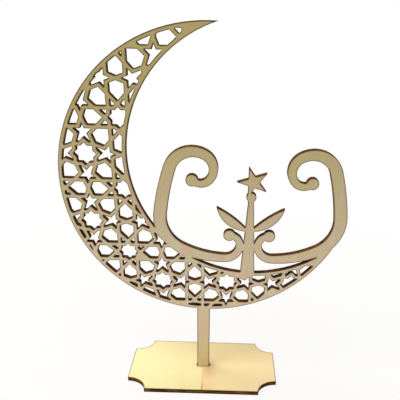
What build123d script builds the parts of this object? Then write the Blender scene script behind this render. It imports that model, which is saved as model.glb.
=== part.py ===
from build123d import *

import os
from math import cos, hypot, radians, sin, sqrt, tan

# Crescent ornament on a stand: a pierced plywood panel whose stem stands in a slotted base plate

# Driving dimensions, in millimetres. X runs along the panel, Z is up and the front faces -Y.
sheet = 3.0  # both pieces are laser-cut from one 3 mm plywood

# Crescent: an outer circle with a smaller circle cut from it, off centre
outer_radius = 84.75
inner_radius = 72.4
inner_shift = 30.95  # from the outer circle's centre to the inner one's
mouth_angle = 30.7  # the crescent opens this far above level, to the right
crescent_centre = Vector(2.3, 136.4)  # X and height above the table
rim = 2.2  # plain border left along both circles

# Lattice: large eight-pointed stars on a square repeat, a small one in the middle of each square
repeat = 40.4
large_star = 5.6  # from a star's centre to the middle of the straps along its sides
small_star = 5.05
strap = 2.2
lattice_shift = Vector(12.2, 16.3)  # from the crescent's centre to a large star
smallest_hole = 0.73  # mm2: what the border would leave smaller than this stays solid
left_solid = [  # from the crescent's centre, the holes that were never cut out
    Vector(-40.9, -47.4),
    Vector(22.3, -59.0),
    Vector(41.2, -70.8),
    Vector(66.1, -47.9),
    Vector(-15.2, -80.9),
    Vector(-11.3, 80.5),
]

# Stem and base plate
stem_width = 8.2
base_length = 100.0
base_depth = 48.0
bite_length = 12.4  # the bite out of each corner is a quarter of an oval, this long
bite_depth = 9.6
slot_end_gap = 0.2  # the slot is this much longer than the stem at each end
slot_side_gap = 0.05  # and this much wider than the sheet on each face
foot_gap = 0.2  # the stem stops this far above the table, so the plate alone stands on it

# Scrollwork in the crescent's mouth: the middle line of its stalk, and the star on the ball that tops it
scroll_centre = Vector(-1.7, 0.0)  # from the centre of the inner circle
star_radius = 9.4
star_tilt = 18.2
star_place = Vector(0.7, -13.2)
ball_radius = 2.9
ball_height = -22.3
stalk_foot_width = 9.0
stalk_neck_width = 3.0

# Scroll on each side of the stalk, as arcs in a row: radius, degrees turned and width at the far end
scroll_start = Vector(12.0, -47.0)
scroll_heading = 180.0
scroll_start_width = 4.2
scroll_arcs = [
    (6.5, 90, 4.8),
    (9.0, 90, 5.6),
    (62.0, 25, 7.2),
    (22.0, 72, 7.8),
    (150.0, 11, 7.2),
    (14.0, 100, 6.0),
    (9.5, 100, 5.0),
    (7.0, 95, 4.2),
]
scroll_knob = 3.6  # radius of the round knob at each end

# Leaf on each side of the stalk
leaf_foot = Vector(0.5, -44.0)
leaf_tip = Vector(20.0, -29.0)
leaf_lower_rise = 4.6  # height of the lower edge's arc
leaf_upper_rise = 1.2  # the same for the upper edge


def polar(radius, angle):
    """A point at a distance and an angle in degrees from the origin."""
    return Vector(radius * cos(radians(angle)), radius * sin(radians(angle)))


def flat(wire):
    """The flat face inside a wire, facing up."""
    face = Face(wire)
    return face if face.normal_at().Z > 0 else -face


def outline(points):
    """The flat face inside a closed row of points."""
    return flat(Wire.make_polygon(points, close=True))


def meet(a, b, c, d):
    """Where the line through a and b meets the line through c and d."""
    along, across, between = b - a, d - c, c - a
    reach = (between.X * across.Y - between.Y * across.X) / (along.X * across.Y - along.Y * across.X)
    return a + along * reach


def eight_star(side):
    """An eight-pointed star of two crossed squares, each this far from its centre to its sides."""
    tips = [polar(side * sqrt(2), 45 * k) for k in range(8)]
    notches = [polar(side / cos(radians(22.5)), 45 * k + 22.5) for k in range(8)]
    return outline([point for pair in zip(tips, notches) for point in pair])


def lattice_tiles():
    """The holes round one large star: its own, the small star's, and those that repeat at each quarter turn."""
    half = repeat / 2
    eighth = tan(radians(22.5))
    large_axis_tip = Vector(large_star * sqrt(2), 0)
    large_notch = Vector(large_star, large_star * eighth)
    large_corner_tip = Vector(large_star, large_star)
    crossing = Vector(half, 0)
    small_axis_tip = Vector(half, half - small_star * sqrt(2))
    small_notch = Vector(half - small_star * eighth, half - small_star)
    small_corner_tip = Vector(half - small_star, half - small_star)
    # An upright strap crosses a shallow one and a steep one, and those two cross at the knee
    upright = (small_corner_tip, Vector(small_corner_tip.X, 0))
    shallow = (crossing, large_corner_tip)
    steep = (large_axis_tip, small_axis_tip)
    low = meet(*upright, *shallow)
    high = meet(*upright, *steep)
    knee = meet(*shallow, *steep)

    def both(points, mirrored):
        """A closed row of points: one half of a tile, then the other half back again."""
        return outline(points + [mirrored(p) for p in reversed(points) if (mirrored(p) - p).length > 1e-6])

    def over_level(p):
        return Vector(p.X, -p.Y)

    def over_upright(p):
        return Vector(repeat - p.X, p.Y)

    def over_diagonal(p):
        return Vector(p.Y, p.X)

    five_point = both([crossing, low, high, knee, large_corner_tip, large_notch, large_axis_tip], over_level)
    shield = both([crossing, low, high, small_axis_tip], over_upright)
    kite = both([large_corner_tip, knee, high, small_corner_tip], over_diagonal)
    corner = [high, small_axis_tip, small_notch, small_corner_tip]
    corners = [outline(corner), outline([over_diagonal(p) for p in corner])]

    def inset(tile):
        return offset(tile, amount=-strap / 2, kind=Kind.INTERSECTION).face()

    stars = [inset(eight_star(large_star)), Pos(half, half) * inset(eight_star(small_star))]
    quarter = [inset(tile) for tile in (five_point, shield, kite, *corners)]
    return stars + [Rot(0, 0, 90 * k) * tile for k in range(4) for tile in quarter]


def is_cut(hole):
    """Whether a hole is large enough, and not one of those left solid."""
    spot = hole.center() - crescent_centre
    return hole.area > smallest_hole and all((spot - place).length > 1 for place in left_solid)


def lattice_holes(window):
    """The lattice's holes inside the window, cut off where they cross its edge."""
    tiles = lattice_tiles()
    centre = crescent_centre
    inner_centre = centre + polar(inner_shift, mouth_angle)
    reach = int(outer_radius // repeat) + 2
    holes = []
    for column in range(-reach, reach + 1):
        for row in range(-reach, reach + 1):
            place = centre + lattice_shift + Vector(column * repeat, row * repeat)
            for tile in tiles:
                hole = Pos(place.X, place.Y) * tile
                corners = [Vector(v.X, v.Y) for v in hole.vertices()]
                out = [hypot(p.X - centre.X, p.Y - centre.Y) for p in corners]
                into = [hypot(p.X - inner_centre.X, p.Y - inner_centre.Y) for p in corners]
                if min(out) > outer_radius - rim or max(into) < inner_radius + rim:
                    continue
                whole = max(out) < outer_radius - rim and min(into) > inner_radius + rim + 0.5
                left = hole if whole else hole & window
                holes += [piece for piece in (left.faces() if left else []) if is_cut(piece)]
    return holes


def ribbon(start, heading, start_width, arcs):
    """A band along a row of tangent arcs, its width changing evenly along each, with its path's two ends."""
    left, right = [], []
    point, direction, width = start, polar(1, heading), start_width
    for radius, turn, end_width in arcs:
        path = JernArc(point, direction, radius, turn)
        stations = []
        for share in (0, 0.5, 1):
            tangent = path % share
            side = Vector(-tangent.Y, tangent.X) * (width + (end_width - width) * share) / 2
            stations.append((path @ share + side, path @ share - side))
        left.append(ThreePointArc(*[a for a, b in stations]))
        right.append(ThreePointArc(*[b for a, b in stations]))
        point, direction, width = path @ 1, path % 1, end_width
    ends = [Line(left[-1] @ 1, right[-1] @ 1), Line(right[0] @ 0, left[0] @ 0)]
    return flat(Wire(left + right + ends)), start, point


def leaf():
    """A pointed leaf between two arcs."""
    lower = SagittaArc(leaf_foot, leaf_tip, -leaf_lower_rise)
    upper = SagittaArc(leaf_foot, leaf_tip, leaf_upper_rise)
    return flat(Wire([lower, upper]))


def scrollwork():
    """Mirrored scrolls and leaves, with a star on a stalk between them."""
    band, inner_end, outer_end = ribbon(scroll_start, scroll_heading, scroll_start_width, scroll_arcs)
    knobs = [Pos(end.X, end.Y) * Circle(scroll_knob) for end in (inner_end, outer_end)]
    half = Sketch() + [band, *knobs, leaf()]
    other_half = [flat(face.outer_wire()) for face in mirror(half, Plane.YZ).faces()]
    foot = -inner_radius - rim / 2
    stalk = outline([
        Vector(-stalk_foot_width / 2, foot),
        Vector(stalk_foot_width / 2, foot),
        Vector(stalk_neck_width / 2, ball_height),
        Vector(-stalk_neck_width / 2, ball_height),
    ])
    tips = [polar(star_radius, 90 + star_tilt + 72 * k) for k in range(5)]
    notch_radius = star_radius * sin(radians(18)) / sin(radians(54))
    notches = [polar(notch_radius, 126 + star_tilt + 72 * k) for k in range(5)]
    star = Pos(star_place.X, star_place.Y) * outline([p for pair in zip(tips, notches) for p in pair])
    ball = Pos(0, ball_height) * Circle(ball_radius)
    return Sketch() + [half, *other_half, stalk, ball, star]


def panel():
    """The upright sheet: crescent, scrollwork and stem in one piece."""
    centre = Pos(crescent_centre.X, crescent_centre.Y)
    mouth = polar(inner_shift, mouth_angle)
    inner = centre * Pos(mouth.X, mouth.Y)
    crescent = centre * Circle(outer_radius) - inner * Circle(inner_radius)
    window = centre * Circle(outer_radius - rim) - inner * Circle(inner_radius + rim)
    stem_top = crescent_centre.Y - outer_radius + rim / 2
    stem = Pos(0, (stem_top + foot_gap) / 2) * Rectangle(stem_width, stem_top - foot_gap)
    scrolls = inner * Pos(scroll_centre.X, scroll_centre.Y) * scrollwork()
    plain = (crescent + stem + scrolls).face()
    loops = list(plain.inner_wires()) + [hole.outer_wire() for hole in lattice_holes(window)]
    face = Face(plain.outer_wire(), loops)
    return extrude(Plane.XZ * face, amount=sheet / 2, both=True)


def base_plate():
    """The flat base, with a bite out of each corner and a slot for the stem."""
    bites = GridLocations(base_length, base_depth, 2, 2) * Ellipse(bite_length, bite_depth)
    slot = Rectangle(stem_width + 2 * slot_end_gap, sheet + 2 * slot_side_gap)
    return extrude(Rectangle(base_length, base_depth) - bites - slot, amount=sheet)


os.makedirs("parts", exist_ok=True)
export_step(panel(), "parts/crescent_panel.step")
export_step(base_plate(), "parts/base_plate.step")
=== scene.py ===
from math import radians

import bpy
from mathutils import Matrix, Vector

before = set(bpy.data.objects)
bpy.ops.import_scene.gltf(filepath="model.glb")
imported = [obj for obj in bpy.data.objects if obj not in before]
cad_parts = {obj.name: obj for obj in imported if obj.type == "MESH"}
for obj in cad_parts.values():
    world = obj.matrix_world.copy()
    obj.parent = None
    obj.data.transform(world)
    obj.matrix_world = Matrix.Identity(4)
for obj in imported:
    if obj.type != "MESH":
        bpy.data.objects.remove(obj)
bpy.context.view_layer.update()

# Sizes in metres
MM = 0.001
SHEET = 3.0 * MM  # thickness of the plywood
FACE_SKIN = 0.01 * MM  # what lies this close to a face of the sheet is that face
GLUE_LINE = 0.5 * MM  # from the sheet's middle to each of its two glue lines
GLUE_HALF = 0.12 * MM  # half the width of a glue line
RELIEF = 0.05 * MM  # how deep the fibres and the beam's lines lie in the surface
SCORCH_REACH = 1.0 * MM  # how far the laser's smoke browns the face beside a cut
SINK_LOW = 0.55 * MM  # how far smoke sank below a cut, low on the panel
SINK_HIGH = 1.4 * MM  # and near its top
JOINT_PLACE = 0.3 * MM  # where the base plate's two leaves of veneer meet, along X
JOINT_HALF = 0.3 * MM  # half the width of the line that they leave
JOINT_SHARP = 0.4 * MM  # how far their colours run together beside it, at the front
JOINT_SOFT = 1.8 * MM  # and behind that
SLOT_PAINTED_SHADOW = (3.5 * MM, -5.5 * MM, SHEET / 2)  # middle of the painted shadow of the stem's foot, in front of the slot
FLOOR_SIDE = 6.0
SHADOW_NEAR = 0.08  # up to here from the floor's middle, the veil of white over its shadow is thinnest
SHADOW_FAR = 0.35  # and from here on it hides the shadow

# Directions
DOWN = (0.0, 0.0, -1.0)
BACK_RIGHT = (0.4, 0.9, 0.0)  # across the base plate, in its sheet, the way its painted shade deepens

# Shares of one colour in another, from 0 to 1
# How far the painted shade at the panel's top goes
TOP_PAINTED_SHADE_MOST = 0.88
# How far the painted bounce light at the stem's foot goes
FOOT_PAINTED_BOUNCE_MOST = 0.65
# How dark the painted shadow in front of the slot gets
SLOT_PAINTED_SHADOW_MOST = 0.15
GLUE_SHARE = 0.55
VEIL_LEAST = 0.85

# Noise lies round 0.5, and little of it is outside these two values
NOISE_LOW = 0.36
NOISE_HIGH = 0.64

# Roughness, and how much light the wood reflects
CHAR_ROUGH = 0.85
SANDED_SMOOTH = 0.5
SANDED_ROUGH = 0.66
WOOD_SPECULAR = 0.05

# Colours, as sRGB hex
PORE = "#7a5a36"
TOP_PAINTED_SHADE = "#b1a46c"  # painted shade: the panel's face, darker and yellower, at its upper end
FOOT_PAINTED_BOUNCE = "#dac484"  # painted bounce light from the base plate, yellower at the stem's foot
PINK_TINT = "#fff8fc"
GREEN_TINT = "#fafff5"
RED_FRONT = "#f6e1ae"  # the base plate's redder wood at its front
RED_IN_PAINTED_SHADE = "#e8d4a6"  # at its back, darker with painted shade
RED_JOINT = "#f0d39d"  # and beside the front half of its joint
OPEN_JOINT = "#966934"
SMOKE_AND_PAINTED_SHADOW = "#472d0c"  # the brown that the laser's smoke leaves on a face, and of the painted shadow in front of the slot
CHAR = "#1a0c03"
FACE_PLY = "#623b16"  # a face ply at the cut
CORE_PLY = "#8e5c2b"  # the core ply at the cut
BURNT_GLUE = "#1a0e07"
PAPER = "#e4e2df"
SOFT_LIGHT = "#fffcf6"
WARM_LAMP = "#fffaf0"
WHITE = "#ffffff"

# The camera, as worked out from the photograph
CAMERA_PLACE = (0.013509, -0.240255, 0.221378)  # metres
CAMERA_TURN = (63.9947, -1.7009, 0.61)  # degrees about X, Y and Z
SENSOR_WIDTH = 36.0  # millimetres
LENS = 39.819  # millimetres
SHIFT = (-0.07, 0.09)  # stands for the photograph's trimming, in widths of the picture


def linear(hex_colour):
    """A colour written as sRGB hex, in the linear values that shaders use."""
    parts = [int(hex_colour[i:i + 2], 16) / 255 for i in (1, 3, 5)]
    return [c / 12.92 if c <= 0.04045 else ((c + 0.055) / 1.055) ** 2.4 for c in parts] + [1.0]


def add(tree, kind, inputs=None, **settings):
    """Adds a node with its settings, and fills its inputs with values or with other nodes' outputs."""
    node = tree.nodes.new("ShaderNode" + kind)
    for name, value in settings.items():
        setattr(node, name, value)
    for socket, value in (inputs or {}).items():
        if isinstance(value, bpy.types.NodeSocket):
            tree.links.new(value, node.inputs[socket])
        else:
            node.inputs[socket].default_value = value
    return node


def new_material(name):
    """A material with no nodes yet, and its node tree."""
    material = bpy.data.materials.new(name)
    material.use_nodes = True
    material.node_tree.nodes.clear()
    return material, material.node_tree


def sheet_space(tree, along, through, middle):
    """Where a point lies in its plywood sheet: across the grain, along it, and through from the middle."""
    place = add(tree, "TexCoord").outputs["Object"]
    axes = add(tree, "SeparateXYZ", {"Vector": place}).outputs
    depth = add(tree, "Math", {0: axes[through], 1: middle}, operation="SUBTRACT").outputs["Value"]
    return add(tree, "CombineXYZ", {"X": axes["X"], "Y": axes[along], "Z": depth}).outputs["Vector"]


def grain(tree, sheet, across, along, detail, distortion=0.0):
    """Noise drawn out along the grain, with marks of this size in metres."""
    stretch = (1 / across, 1 / along, 1 / SHEET)
    scaled = add(tree, "Mapping", {"Vector": sheet, "Scale": stretch}).outputs["Vector"]
    inputs = {"Vector": scaled, "Scale": 1.0, "Roughness": 0.55,
              "Detail": detail, "Distortion": distortion}
    return add(tree, "TexNoise", inputs).outputs["Fac"]


def veneer(tree, sheet, pale, deep, warm, pore_depth):
    """Colour and relief of the sanded face veneer."""
    # Growth bands about 5 mm wide, wavy because the veneer is peeled off the log
    bands = grain(tree, sheet, across=5 * MM, along=70 * MM, detail=2.0, distortion=0.6)
    # Fibres and pores of birch are finer than these, which are drawn coarse enough to show in the picture
    fibres = grain(tree, sheet, across=0.55 * MM, along=14 * MM, detail=4.0)
    pores = grain(tree, sheet, across=0.3 * MM, along=1.8 * MM, detail=1.0)
    # Cloudy patches, half a finger wide, where the wood is warmer
    clouds = grain(tree, sheet, across=8 * MM, along=18 * MM, detail=1.0)

    inputs = {"Factor": 0.5, "A": bands, "B": fibres}
    streaks = add(tree, "Mix", inputs, data_type="FLOAT").outputs["Result"]
    inputs = {"Value": streaks, "From Min": NOISE_LOW, "From Max": NOISE_HIGH}
    depth = add(tree, "MapRange", inputs).outputs["Result"]
    inputs = {"Factor": depth, "A": linear(pale), "B": linear(deep)}
    wood = add(tree, "Mix", inputs, data_type="RGBA").outputs["Result"]
    inputs = {"Value": clouds, "From Min": 0.4, "From Max": 0.7, "To Max": 0.6}
    patch = add(tree, "MapRange", inputs).outputs["Result"]
    inputs = {"Factor": patch, "A": wood, "B": linear(warm)}
    wood = add(tree, "Mix", inputs, data_type="RGBA").outputs["Result"]
    # Only the peaks of the pores' noise show, as short dark dashes
    inputs = {"Value": pores, "From Min": 0.66, "From Max": 0.78, "To Max": pore_depth}
    dash = add(tree, "MapRange", inputs).outputs["Result"]
    inputs = {"Factor": dash, "A": wood, "B": linear(PORE)}
    wood = add(tree, "Mix", inputs, data_type="RGBA").outputs["Result"]
    return wood, fibres


def smoked(tree, face, rays, none_at, full_at, most):
    """The same face, browned by smoke where many of the rays that start inside the sheet reach a cut."""
    clear = add(tree, "AmbientOcclusion", rays, inside=True, only_local=True, samples=8).outputs["AO"]
    inputs = {"Value": clear, "From Min": none_at, "From Max": full_at, "To Max": most}
    smoke = add(tree, "MapRange", inputs).outputs["Result"]
    inputs = {"Factor": smoke, "A": face, "B": linear(SMOKE_AND_PAINTED_SHADOW)}
    return add(tree, "Mix", inputs, data_type="RGBA").outputs["Result"]


def scorched(tree, face):
    """The same face, browned beside each cut."""
    return smoked(tree, face, {"Distance": SCORCH_REACH}, none_at=0.94, full_at=0.5, most=0.95)


def stained(tree, face, height):
    """The same face, darker just under each cut, where the smoke sank along the sheet."""
    # The rays start inside the sheet, so a normal that leans down turns them up, towards the cut
    outward = add(tree, "TexCoord").outputs["Normal"]
    leaning = add(tree, "VectorMath", {0: outward, 1: DOWN}, operation="ADD").outputs["Vector"]
    leaning = add(tree, "VectorMath", {0: leaning}, operation="NORMALIZE").outputs["Vector"]
    inputs = {"Value": height, "From Min": 90 * MM, "From Max": 215 * MM,
              "To Min": SINK_LOW, "To Max": SINK_HIGH}
    reach = add(tree, "MapRange", inputs).outputs["Result"]
    rays = {"Distance": reach, "Normal": leaning}
    return smoked(tree, face, rays, none_at=0.62, full_at=0.42, most=0.9)


def burnt_cut(tree, sheet, from_middle):
    """Colour and relief of the laser-cut edge, where the plies show as charred layers."""
    # The beam leaves fine lines straight through the sheet, and chars some patches more than others
    stretch = (1 / (0.5 * MM), 1 / (0.5 * MM), 1 / (9 * MM))
    scaled = add(tree, "Mapping", {"Vector": sheet, "Scale": stretch}).outputs["Vector"]
    lines = add(tree, "TexNoise", {"Vector": scaled, "Scale": 1.0, "Detail": 2.0}).outputs["Fac"]
    inputs = {"Vector": sheet, "Scale": 1 / (7 * MM), "Detail": 2.0}
    patches = add(tree, "TexNoise", inputs).outputs["Fac"]
    inputs = {"Factor": 0.45, "A": patches, "B": lines}
    spared = add(tree, "Mix", inputs, data_type="FLOAT").outputs["Result"]
    inputs = {"Value": spared, "From Min": NOISE_LOW, "From Max": NOISE_HIGH}
    spared = add(tree, "MapRange", inputs).outputs["Result"]
    # The core ply is end grain, and stays a lighter brown than the face plies
    core = add(tree, "Math", {0: from_middle, 1: GLUE_LINE}, operation="LESS_THAN").outputs["Value"]
    inputs = {"Factor": core, "A": linear(FACE_PLY), "B": linear(CORE_PLY)}
    brown = add(tree, "Mix", inputs, data_type="RGBA").outputs["Result"]
    inputs = {"Factor": spared, "A": linear(CHAR), "B": brown}
    colour = add(tree, "Mix", inputs, data_type="RGBA").outputs["Result"]
    # Glue burns blackest: a dark line on each side of the core ply
    inputs = {0: from_middle, 1: GLUE_LINE, 2: GLUE_HALF}
    glue = add(tree, "Math", inputs, operation="COMPARE").outputs["Value"]
    share = add(tree, "Math", {0: glue, 1: GLUE_SHARE}, operation="MULTIPLY").outputs["Value"]
    inputs = {"Factor": share, "A": colour, "B": linear(BURNT_GLUE)}
    colour = add(tree, "Mix", inputs, data_type="RGBA").outputs["Result"]
    return colour, lines


def finish_plywood(tree, sheet, face, face_relief):
    """Joins the face veneer and the burnt cut into one surface."""
    depth = add(tree, "SeparateXYZ", {"Vector": sheet}).outputs["Z"]
    from_middle = add(tree, "Math", {0: depth}, operation="ABSOLUTE").outputs["Value"]
    inputs = {0: from_middle, 1: SHEET / 2 - FACE_SKIN}
    on_face = add(tree, "Math", inputs, operation="GREATER_THAN").outputs["Value"]
    cut, cut_relief = burnt_cut(tree, sheet, from_middle)
    inputs = {"Factor": on_face, "A": cut, "B": scorched(tree, face)}
    colour = add(tree, "Mix", inputs, data_type="RGBA").outputs["Result"]
    inputs = {"Factor": on_face, "A": cut_relief, "B": face_relief}
    relief = add(tree, "Mix", inputs, data_type="FLOAT").outputs["Result"]
    bump = add(tree, "Bump", {"Height": relief, "Strength": 0.25, "Distance": RELIEF}).outputs["Normal"]
    # Char is dull all over, and sanding leaves some fibres smoother than others
    inputs = {"Value": face_relief, "From Min": 0.3, "From Max": 0.7,
              "To Min": SANDED_SMOOTH, "To Max": SANDED_ROUGH}
    sanded = add(tree, "MapRange", inputs).outputs["Result"]
    inputs = {"Factor": on_face, "A": CHAR_ROUGH, "B": sanded}
    rough = add(tree, "Mix", inputs, data_type="FLOAT").outputs["Result"]
    inputs = {"Base Color": colour, "Roughness": rough, "Normal": bump,
              "Specular IOR Level": WOOD_SPECULAR}
    surface = add(tree, "BsdfPrincipled", inputs).outputs["BSDF"]
    add(tree, "OutputMaterial", {"Surface": surface})


def panel_plywood():
    """Birch plywood, sanded and laser-cut: dull pale tan, fine upright grain, brown-black edges."""
    material, tree = new_material("laser_cut_birch_plywood")
    sheet = sheet_space(tree, along="Z", through="Y", middle=0.0)
    face, relief = veneer(tree, sheet, pale="#dcd0ba", deep="#d2c6af", warm="#ddc3a6", pore_depth=0.3)
    # Painted shade: the face turns darker and yellower towards its upper end
    height = add(tree, "SeparateXYZ", {"Vector": sheet}).outputs["Y"]
    inputs = {"Value": height, "From Min": 50 * MM, "From Max": 205 * MM, "To Max": TOP_PAINTED_SHADE_MOST}
    upper = add(tree, "MapRange", inputs, interpolation_type="SMOOTHSTEP").outputs["Result"]
    inputs = {"Factor": upper, "A": face, "B": linear(TOP_PAINTED_SHADE)}
    face = add(tree, "Mix", inputs, data_type="RGBA").outputs["Result"]
    # Painted bounce light from the base plate: the face turns a little yellower towards the stem's foot
    inputs = {"Value": height, "From Min": 62 * MM, "From Max": 8 * MM, "To Max": FOOT_PAINTED_BOUNCE_MOST}
    foot = add(tree, "MapRange", inputs).outputs["Result"]
    inputs = {"Factor": foot, "A": face, "B": linear(FOOT_PAINTED_BOUNCE)}
    face = add(tree, "Mix", inputs, data_type="RGBA").outputs["Result"]
    # Blotches a few millimetres wide, some pinker and some greener
    blotches = grain(tree, sheet, across=5 * MM, along=7 * MM, detail=1.0)
    inputs = {"Value": blotches, "From Min": 0.35, "From Max": 0.65}
    green = add(tree, "MapRange", inputs).outputs["Result"]
    inputs = {"Factor": green, "A": linear(PINK_TINT), "B": linear(GREEN_TINT)}
    tint = add(tree, "Mix", inputs, data_type="RGBA").outputs["Result"]
    inputs = {"Factor": 1.0, "A": face, "B": tint}
    face = add(tree, "Mix", inputs, data_type="RGBA", blend_type="MULTIPLY").outputs["Result"]
    finish_plywood(tree, sheet, stained(tree, face, height), relief)
    return material


def right_hand_leaf(tree, across, back):
    """1 on the base plate's right-hand leaf of veneer, 0 on the left-hand one."""
    inputs = {"Value": back, "From Min": -5 * MM, "From Max": -18 * MM,
              "To Min": JOINT_SOFT, "To Max": JOINT_SHARP}
    blur = add(tree, "MapRange", inputs).outputs["Result"]
    start = add(tree, "Math", {0: JOINT_PLACE, 1: blur}, operation="SUBTRACT").outputs["Value"]
    end = add(tree, "Math", {0: JOINT_PLACE, 1: blur}, operation="ADD").outputs["Value"]
    inputs = {"Value": across, "From Min": start, "From Max": end}
    return add(tree, "MapRange", inputs, interpolation_type="SMOOTHSTEP").outputs["Result"]


def left_hand_red(tree, across, back):
    """How red the left-hand leaf is: it reddens towards the joint, and more so at the back."""
    inputs = {"Value": back, "From Min": -9 * MM, "From Max": 3 * MM, "To Min": 0.22, "To Max": 0.88}
    reddest = add(tree, "MapRange", inputs, interpolation_type="SMOOTHSTEP").outputs["Result"]
    inputs = {"Value": across, "From Min": -42 * MM, "From Max": 0.0, "To Max": reddest}
    slow = add(tree, "MapRange", inputs).outputs["Result"]
    # Over the last few millimetres it reddens at the front too
    inputs = {"Value": across, "From Min": -5 * MM, "From Max": JOINT_PLACE, "To Max": 0.5}
    quick = add(tree, "MapRange", inputs).outputs["Result"]
    return add(tree, "Math", {0: slow, 1: quick}, operation="MAXIMUM").outputs["Value"]


def red_wood(tree, sheet, across, back):
    """The redder wood, darkened a little towards the back right by painted shade, and redder beside the
    front half of the joint.
    """
    # Painted shade of the panel, darker towards the back right
    inputs = {0: sheet, 1: BACK_RIGHT}
    aslant = add(tree, "VectorMath", inputs, operation="DOT_PRODUCT").outputs["Value"]
    inputs = {"Value": aslant, "From Min": -20 * MM, "From Max": 30 * MM}
    back_right_painted_shade = add(tree, "MapRange", inputs).outputs["Result"]
    inputs = {"Factor": back_right_painted_shade, "A": linear(RED_FRONT), "B": linear(RED_IN_PAINTED_SHADE)}
    wood = add(tree, "Mix", inputs, data_type="RGBA").outputs["Result"]
    inputs = {"Value": back, "From Min": 3 * MM, "From Max": -3 * MM}
    front_half = add(tree, "MapRange", inputs).outputs["Result"]
    inputs = {"Value": across, "From Min": 13 * MM, "From Max": 1 * MM, "To Max": front_half}
    beside = add(tree, "MapRange", inputs).outputs["Result"]
    inputs = {"Factor": beside, "A": wood, "B": linear(RED_JOINT)}
    return add(tree, "Mix", inputs, data_type="RGBA").outputs["Result"]


def base_plywood():
    """The same plywood, its face laid from a yellower and a redder leaf that meet along the middle."""
    material, tree = new_material("laser_cut_birch_plywood_jointed")
    sheet = sheet_space(tree, along="Y", through="Z", middle=SHEET / 2)
    face, relief = veneer(tree, sheet, pale="#efecb8", deep="#ece6b0", warm="#eee4b0", pore_depth=0.08)
    axes = add(tree, "SeparateXYZ", {"Vector": sheet}).outputs
    across = axes["X"]
    back = axes["Y"]
    right = right_hand_leaf(tree, across, back)
    inputs = {0: left_hand_red(tree, across, back), 1: right}
    red = add(tree, "Math", inputs, operation="MAXIMUM").outputs["Value"]
    inputs = {"Factor": red, "A": face, "B": red_wood(tree, sheet, across, back)}
    face = add(tree, "Mix", inputs, data_type="RGBA").outputs["Result"]
    # Painted shadow of the stem's foot: a soft brown patch on the right-hand leaf, in front of the slot
    from_painted_shadow = add(tree, "VectorMath", {0: sheet, 1: SLOT_PAINTED_SHADOW}, operation="DISTANCE").outputs["Value"]
    darkest_painted_shadow = add(tree, "Math", {0: right, 1: SLOT_PAINTED_SHADOW_MOST}, operation="MULTIPLY").outputs["Value"]
    inputs = {"Value": from_painted_shadow, "From Min": 9 * MM, "From Max": 1 * MM, "To Max": darkest_painted_shadow}
    smoke = add(tree, "MapRange", inputs).outputs["Result"]
    inputs = {"Factor": smoke, "A": face, "B": linear(SMOKE_AND_PAINTED_SHADOW)}
    face = add(tree, "Mix", inputs, data_type="RGBA").outputs["Result"]
    # The joint is a faint line that gapes towards the front edge
    inputs = {0: across, 1: JOINT_PLACE, 2: JOINT_HALF}
    joint = add(tree, "Math", inputs, operation="COMPARE").outputs["Value"]
    inputs = {"Value": back, "From Min": -14 * MM, "From Max": -22 * MM, "To Min": 0.15, "To Max": 0.9}
    gape = add(tree, "MapRange", inputs).outputs["Result"]
    line = add(tree, "Math", {0: joint, 1: gape}, operation="MULTIPLY").outputs["Value"]
    inputs = {"Factor": line, "A": face, "B": linear(OPEN_JOINT)}
    face = add(tree, "Mix", inputs, data_type="RGBA").outputs["Result"]
    finish_plywood(tree, sheet, face, relief)
    return material


def dress(node, material):
    """Gives a CAD node its finish."""
    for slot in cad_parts[node].material_slots:
        slot.material = material


def shown_white(tree):
    """1 for the rays that only look at the surroundings, 0 for those that carry light to the object."""
    path = add(tree, "LightPath").outputs
    inputs = {0: path["Is Camera Ray"], 1: path["Is Glossy Ray"]}
    seen = add(tree, "Math", inputs, operation="MAXIMUM").outputs["Value"]
    inputs = {0: seen, 1: path["Is Transmission Ray"]}
    return add(tree, "Math", inputs, operation="MAXIMUM").outputs["Value"]


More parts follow.
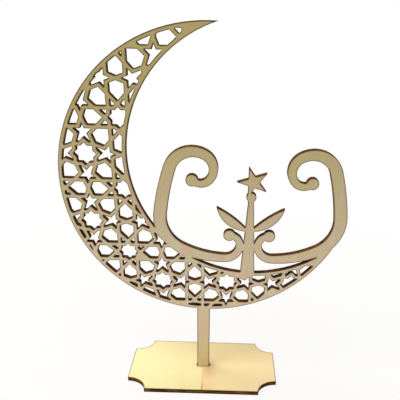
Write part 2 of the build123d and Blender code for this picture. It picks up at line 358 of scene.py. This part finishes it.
def lay_floor():
    """A plain pale floor that fades into the white surroundings and keeps the object's soft shadow."""
    bpy.ops.object.select_all(action="DESELECT")
    bpy.ops.mesh.primitive_plane_add(size=FLOOR_SIDE, location=(0, 0, 0))
    floor = bpy.context.object
    floor.name = "floor"
    # Matt white paper has no gloss: all that shows on it is the shadow
    material, tree = new_material("matt_white_paper")
    paper = add(tree, "BsdfDiffuse", {"Color": linear(PAPER)}).outputs["BSDF"]
    glow = add(tree, "Emission", {"Color": linear(WHITE), "Strength": 1.0}).outputs["Emission"]
    # White veils the floor: a little of the shadow shows round the object, and none further out
    place = add(tree, "TexCoord").outputs["Object"]
    away = add(tree, "VectorMath", {0: place}, operation="LENGTH").outputs["Value"]
    inputs = {"Value": away, "From Min": SHADOW_NEAR, "From Max": SHADOW_FAR, "To Min": VEIL_LEAST}
    fade = add(tree, "MapRange", inputs).outputs["Result"]
    share = add(tree, "Math", {0: shown_white(tree), 1: fade}, operation="MULTIPLY").outputs["Value"]
    mixed = add(tree, "MixShader", {0: share, 1: paper, 2: glow}).outputs["Shader"]
    add(tree, "OutputMaterial", {"Surface": mixed})
    floor.data.materials.append(material)


def light_world():
    """Even, faintly warm light from all round, in front of white."""
    world = bpy.data.worlds.new("studio")
    world.use_nodes = True
    tree = world.node_tree
    tree.nodes.clear()
    soft = add(tree, "Background", {"Color": linear(SOFT_LIGHT), "Strength": 0.42}).outputs["Background"]
    white = add(tree, "Background", {"Color": linear(WHITE), "Strength": 1.0}).outputs["Background"]
    mixed = add(tree, "MixShader", {0: shown_white(tree), 1: soft, 2: white}).outputs["Shader"]
    add(tree, "OutputWorld", {"Surface": mixed})
    bpy.context.scene.world = world


def hang_lamp(name, place, target, size, power, colour):
    """A square soft box at a place, turned to a target."""
    bpy.ops.object.select_all(action="DESELECT")
    bpy.ops.object.light_add(type="AREA", location=place)
    lamp = bpy.context.object
    lamp.name = name
    lamp.data.size = size
    lamp.data.energy = power
    lamp.data.color = linear(colour)[:3]
    lamp.rotation_euler = (Vector(target) - Vector(place)).to_track_quat("-Z", "Y").to_euler()


def place_camera():
    """Looks down on the front, as in the photograph."""
    bpy.ops.object.select_all(action="DESELECT")
    bpy.ops.object.camera_add(location=CAMERA_PLACE)
    camera = bpy.context.object
    camera.name = "camera"
    camera.rotation_euler = [radians(angle) for angle in CAMERA_TURN]
    camera.data.sensor_width = SENSOR_WIDTH
    camera.data.lens = LENS
    camera.data.shift_x = SHIFT[0]
    camera.data.shift_y = SHIFT[1]
    camera.data.clip_start = 10 * MM
    bpy.context.scene.camera = camera


dress("crescent_panel", panel_plywood())
dress("base_plate", base_plywood())
lay_floor()
light_world()
hang_lamp("overhead_softbox", place=(-0.48, -0.03, 1.05), target=(0.0, 0.0, 0.05),
          size=1.1, power=15.2, colour=WARM_LAMP)
hang_lamp("front_softbox", place=(0.0, -0.8, 0.15), target=(0.0, 0.0, 0.06),
          size=0.5, power=0.85, colour=WHITE)
place_camera()

bpy.context.scene.view_settings.view_transform = "Standard"
